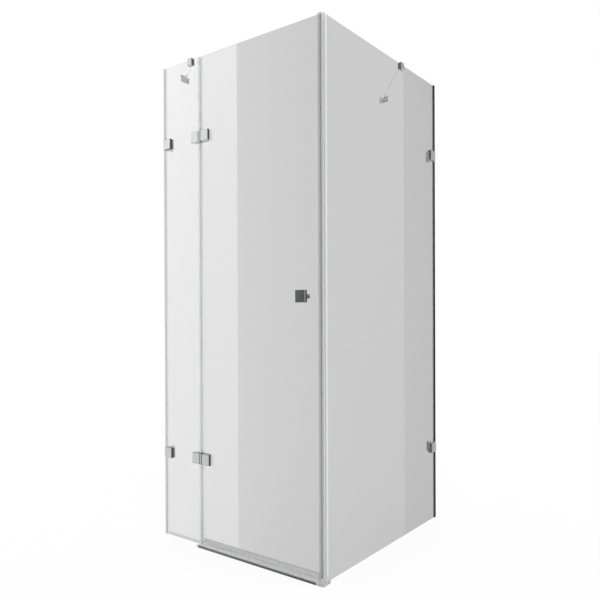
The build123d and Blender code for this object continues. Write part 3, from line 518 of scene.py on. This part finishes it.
class CABIN_OT_seals(bpy.types.Operator):
    """Dress the clear seals with their magnets, and the soft pads"""
    bl_idname = "cabin.seals"
    bl_label = "Seals, Magnets and Pads"

    def execute(self, context):
        look = context.scene.cabin_seal
        x, y = 0, 1
        # Material, settings it takes, pieces, and the stripe: a clear grade of PVC on the front wall seals, a
        #         # painted highlight on the corner profile and painted shade on the side wall seals
        grades = (
            ("extruded_clear_pvc", "gap", matching("gap_seal", "bottom_seal"), None),
            ("extruded_clear_magnet_pvc", "door", ("door_magnet_seal",), None),
            # On the corner profile the stripe is a painted highlight, nearly opaque white
            ("extruded_clear_pvc_with_painted_highlight", "profile", ("corner_magnet_profile",),
             (y, -4.0, 6.0, look.profile_highlight_colour, look.profile_highlight_density)),
            ("extruded_two_grade_pvc_front", "wall", matching("front_wall_seal"),
             (y, 2.5, 3.0, look.inner_leg_colour, look.inner_leg_density)),
            # On the side wall seals the stripe is painted shade, near black
            ("extruded_pvc_side_with_painted_shade", "wall", matching("side_wall_seal"),
             (x, 2.8, 3.4, look.outer_leg_painted_shade, look.outer_leg_shade_density)),
        )
        for name, key, names, stripe in grades:
            colours = [getattr(look, key + part) for part in ("_colour", "_line_colour", "_edge_colour")]
            densities = [getattr(look, key + part) for part in ("_density", "_edge_density")]
            dress(extruded_pvc(name, colours, densities, look, stripe), names)
        dress(magnet_rubber(look), matching("magnet_strip"))
        dress(silicone_pad(look), matching("gasket", "washer", "pads"))
        stand_clear(matching("seal", "magnet_profile", "gasket", "washer", "pads"), look.hair_gap)
        return {"FINISHED"}


class CABIN_OT_screws(bpy.types.Operator):
    """Dress the screws, pins and studs"""
    bl_idname = "cabin.screws"
    bl_label = "Screws, Pins and Studs"

    def execute(self, context):
        dress(turned_steel(context.scene.cabin_metal), matching("screw", "_pin", "stud"))
        return {"FINISHED"}


class CABIN_OT_threshold(bpy.types.Operator):
    """Dress the threshold rail and its caps"""
    bl_idname = "cabin.threshold"
    bl_label = "Threshold"

    def execute(self, context):
        look = context.scene.cabin_metal
        dress(anodised_aluminium(look), ("threshold_rail",))
        dress(moulded_cap(look), ("threshold_left_cap", "threshold_corner_cap"))
        return {"FINISHED"}


# Stage

# The floor reaches this far from the cabin's corner, and lies this far below its foot
FLOOR_REACH = 14.0
FLOOR_DROP = 0.5 * MM

# Planes of the cards before the front and beside the side panel, and the heights between which they stand
FRONT_PLANE = -2.5
FRONT_FOOT = -1.345
FRONT_TOP = 3.6
SIDE_PLANE = 2.5
SIDE_FOOT = -2.2
SIDE_TOP = 3.97

# The card above the side cards starts and ends with them, and reaches this high
SIDE_START = 3.364
SIDE_END = 5.85
SIDE_SKY = 8.0

# Each card: name, where it starts and ends along its plane, and its levels at the foot and at the top, both
# from start to end. The levels are matched to what glass and fittings mirror in the photograph
FRONT_CARDS = (
    ("card_left_key", -4.4, -3.354, (2.05, 2.05), (3.1, 3.1)),
    ("card_door_key", -3.354, -2.868, (1.75, 1.75), (2.6, 2.6)),
    ("card_door_flag", -2.868, -1.858, (0.7, 0.05), (0.8, 0.1)),
    ("card_front_flag", -1.858, 1.0, (0.05, 0.05), (0.1, 0.1)),
    ("card_far_left", -7.0, -4.4, (0.4, 0.4), (0.4, 0.4)),
)
SIDE_CARDS = (
    ("card_side_flag", 0.6, SIDE_START, (0.05, 0.05), (0.05, 0.05)),
    ("card_side_near", SIDE_START, 5.016, (0.3, 0.22), (0.36, 0.46)),
    ("card_side_far", 5.016, SIDE_END, (0.0, 0.0), (0.05, 0.05)),
    ("card_side_beyond", SIDE_END, 9.0, (2.5, 2.5), (2.5, 2.5)),
)

# Squares along each side of a card, so that its levels grade smoothly
CARD_STEPS = 8


class CABIN_OT_studio(bpy.types.Operator):
    """Set up the floor, world, lamp, cards and camera"""
    bl_idname = "cabin.studio"
    bl_label = "Studio"

    def world(self, scene, studio):
        """White for what the camera sees straight, mirrored or through glass, dimmer for matt surfaces."""
        scene.world = bpy.data.worlds.new("studio_world")
        scene.world.use_nodes = True
        tree = scene.world.node_tree
        tree.nodes.clear()
        ray = add_node(tree, "ShaderNodeLightPath")
        seen = add_node(tree, "ShaderNodeMath", {"operation": "MAXIMUM"}, {
            0: ray.outputs["Is Camera Ray"], 1: ray.outputs["Is Glossy Ray"]})
        seen = add_node(tree, "ShaderNodeMath", {"operation": "MAXIMUM"}, {
            0: seen.outputs[0], 1: ray.outputs["Is Transmission Ray"]})
        level = add_node(tree, "ShaderNodeMapRange", inputs={
            "Value": seen.outputs[0], "To Min": studio.sky_level, "To Max": 1.0})
        light = add_node(tree, "ShaderNodeBackground", inputs={
            "Color": linear("#FFFFFF"), "Strength": level.outputs[0]})
        add_node(tree, "ShaderNodeOutputWorld", inputs={"Surface": light.outputs[0]})

    def floor(self, studio):
        """A pale floor that shows white, takes the shadow and stays out of reflections."""
        mesh = bpy.data.meshes.new("studio_floor")
        signs = ((-1, -1), (1, -1), (1, 1), (-1, 1))
        corners = [(x * FLOOR_REACH, y * FLOOR_REACH, -FLOOR_DROP) for x, y in signs]
        mesh.from_pydata(corners, [], [(0, 1, 2, 3)])
        floor = bpy.data.objects.new("studio_floor", mesh)
        bpy.context.scene.collection.objects.link(floor)
        material = new_material("matt_white_floor")
        tree = material.node_tree
        ray = add_node(tree, "ShaderNodeLightPath")
        pale = add_node(tree, "ShaderNodeBsdfDiffuse", inputs={"Color": studio.floor_colour})
        shade = add_node(tree, "ShaderNodeBsdfDiffuse", inputs={"Color": [studio.floor_shade] * 3 + [1.0]})
        glow = add_node(tree, "ShaderNodeEmission", inputs={"Strength": 1.0 - studio.floor_shade})
        shown = add_node(tree, "ShaderNodeAddShader", inputs={0: shade.outputs[0], 1: glow.outputs[0]})
        matt = add_node(tree, "ShaderNodeMixShader", inputs={
            0: ray.outputs["Is Diffuse Ray"], 1: shown.outputs[0], 2: pale.outputs[0]})
        mirrored = add_node(tree, "ShaderNodeMath", {"operation": "GREATER_THAN"}, {
            0: ray.outputs["Glossy Depth"], 1: 0.5})
        clear = add_node(tree, "ShaderNodeBsdfTransparent")
        mix = add_node(tree, "ShaderNodeMixShader", inputs={
            0: mirrored.outputs[0], 1: matt.outputs[0], 2: clear.outputs[0]})
        add_node(tree, "ShaderNodeOutputMaterial", inputs={"Surface": mix.outputs[0]})
        mesh.materials.append(material)

    def card_light(self):
        """Light at the level that each point of a card holds, shown to reflections alone."""
        material = new_material("reflection_card")
        tree = material.node_tree
        ray = add_node(tree, "ShaderNodeLightPath")
        level = add_node(tree, "ShaderNodeAttribute", {"attribute_name": "level"})
        mirrored = add_node(tree, "ShaderNodeMath", {"operation": "GREATER_THAN"}, {
            0: ray.outputs["Glossy Depth"], 1: 0.5})
        light = add_node(tree, "ShaderNodeEmission", inputs={"Strength": level.outputs["Fac"]})
        clear = add_node(tree, "ShaderNodeBsdfTransparent")
        mix = add_node(tree, "ShaderNodeMixShader", inputs={
            0: mirrored.outputs[0], 1: clear.outputs[0], 2: light.outputs[0]})
        add_node(tree, "ShaderNodeOutputMaterial", inputs={"Surface": mix.outputs[0]})
        return material

    def card(self, material, name, start, end, above, foot, top):
        """A flat card from its start to its end and to the point above its start, with graded levels."""
        start = Vector(start)
        across = Vector(end) - start
        upward = Vector(above) - start
        shares = [i / CARD_STEPS for i in range(CARD_STEPS + 1)]
        spots = [(a, b) for b in shares for a in shares]
        row = CARD_STEPS + 1
        corners = [i + j * row for j in range(CARD_STEPS) for i in range(CARD_STEPS)]
        mesh = bpy.data.meshes.new(name)
        mesh.from_pydata([start + across * a + upward * b for a, b in spots], [],
                         [(i, i + 1, i + 1 + row, i + row) for i in corners])
        levels = [(foot[0] * (1 - a) + foot[1] * a) * (1 - b) + (top[0] * (1 - a) + top[1] * a) * b
                  for a, b in spots]
        mesh.attributes.new("level", "FLOAT", "POINT").data.foreach_set("value", levels)
        mesh.materials.append(material)
        card = bpy.data.objects.new(name, mesh)
        bpy.context.scene.collection.objects.link(card)
        card.visible_camera = card.visible_diffuse = card.visible_shadow = card.visible_volume_scatter = False

    def cards(self):
        """Cards that only reflections show: bright ones and graded dark ones."""
        material = self.card_light()
        for name, left, right, foot, top in FRONT_CARDS:
            self.card(material, name, (left, FRONT_PLANE, FRONT_FOOT), (right, FRONT_PLANE, FRONT_FOOT),
                      (left, FRONT_PLANE, FRONT_TOP), foot, top)
        for name, near, far, foot, top in SIDE_CARDS:
            self.card(material, name, (SIDE_PLANE, near, SIDE_FOOT), (SIDE_PLANE, far, SIDE_FOOT),
                      (SIDE_PLANE, near, SIDE_TOP), foot, top)
        bright = (2.5, 2.5)
        self.card(material, "card_side_above", (SIDE_PLANE, SIDE_START, SIDE_TOP),
                  (SIDE_PLANE, SIDE_END, SIDE_TOP), (SIDE_PLANE, SIDE_START, SIDE_SKY), bright, bright)
        # It lies just under the foot of the front cards
        dim = (0.3, 0.3)
        below = FRONT_FOOT - 0.01
        self.card(material, "card_under", (-6.0, -9.0, below), (3.0, -9.0, below), (-6.0, -0.2, below),
                  dim, dim)

    def lamp(self, studio):
        """One soft lamp far overhead."""
        lamp = bpy.data.lights.new("overhead_lamp", "SUN")
        lamp.angle = studio.sun_spread
        lamp.energy = math.pi * studio.sun_level / math.cos(studio.sun_tilt)
        holder = bpy.data.objects.new("overhead_lamp", lamp)
        holder.rotation_euler = (studio.sun_tilt, 0, studio.sun_turn)
        bpy.context.scene.collection.objects.link(holder)

    def camera(self, scene, studio):
        """The camera at the photograph's angle."""
        yaw, pitch, roll = studio.camera_turn
        forward = Vector((-math.sin(yaw) * math.cos(pitch), math.cos(yaw) * math.cos(pitch), math.sin(pitch)))
        across = Vector((math.cos(yaw), math.sin(yaw), 0))
        up = across.cross(forward)
        right = math.cos(roll) * across + math.sin(roll) * up
        above = math.cos(roll) * up - math.sin(roll) * across
        data = bpy.data.cameras.new("studio_camera")
        data.sensor_fit = "HORIZONTAL"
        data.sensor_width = 36.0
        data.lens = studio.lens
        data.shift_x = studio.shift_x
        data.shift_y = studio.shift_y
        data.clip_start = 0.05
        camera = bpy.data.objects.new("studio_camera", data)
        turn = Matrix((right, above, -forward)).transposed().to_4x4()
        camera.matrix_world = Matrix.Translation(studio.camera_place) @ turn
        scene.collection.objects.link(camera)
        scene.camera = camera

    def execute(self, context):
        scene = context.scene
        studio = scene.cabin_studio
        self.world(scene, studio)
        self.floor(studio)
        self.cards()
        self.lamp(studio)
        self.camera(scene, studio)
        scene.view_settings.view_transform = "Standard"
        return {"FINISHED"}


# Panel and add-on

class CABIN_PT_panel(bpy.types.Panel):
    """Lists the steps and settings of the shower cabin"""
    bl_idname = "CABIN_PT_panel"
    bl_label = "Shower Cabin"
    bl_space_type = "VIEW_3D"
    bl_region_type = "UI"
    bl_category = "Shower Cabin"

    def draw(self, context):
        for operator in OPERATORS:
            self.layout.operator(operator.bl_idname)
        for name in LOOKS:
            settings = getattr(context.scene, name)
            column = self.layout.column(align=True)
            for key in settings.bl_rna.properties.keys():
                if key not in ("rna_type", "name"):
                    column.prop(settings, key)


OPERATORS = (
    CABIN_OT_glass_panes, CABIN_OT_fittings, CABIN_OT_seals, CABIN_OT_screws, CABIN_OT_threshold,
    CABIN_OT_studio)
LOOKS = {
    "cabin_glass": CabinGlassLook, "cabin_chrome": CabinChromeLook, "cabin_seal": CabinSealLook,
    "cabin_metal": CabinMetalLook, "cabin_studio": CabinStudio}


def register():
    for part in (*LOOKS.values(), *OPERATORS, CABIN_PT_panel):
        bpy.utils.register_class(part)
    for name, look in LOOKS.items():
        setattr(bpy.types.Scene, name, PointerProperty(type=look))


def unregister():
    for name in LOOKS:
        delattr(bpy.types.Scene, name)
    for part in (CABIN_PT_panel, *OPERATORS[::-1], *reversed(LOOKS.values())):
        bpy.utils.unregister_class(part)


def main():
    register()
    for operator in OPERATORS:
        group, step = operator.bl_idname.split(".")
        getattr(getattr(bpy.ops, group), step)()


if __name__ == "__main__":
    main()
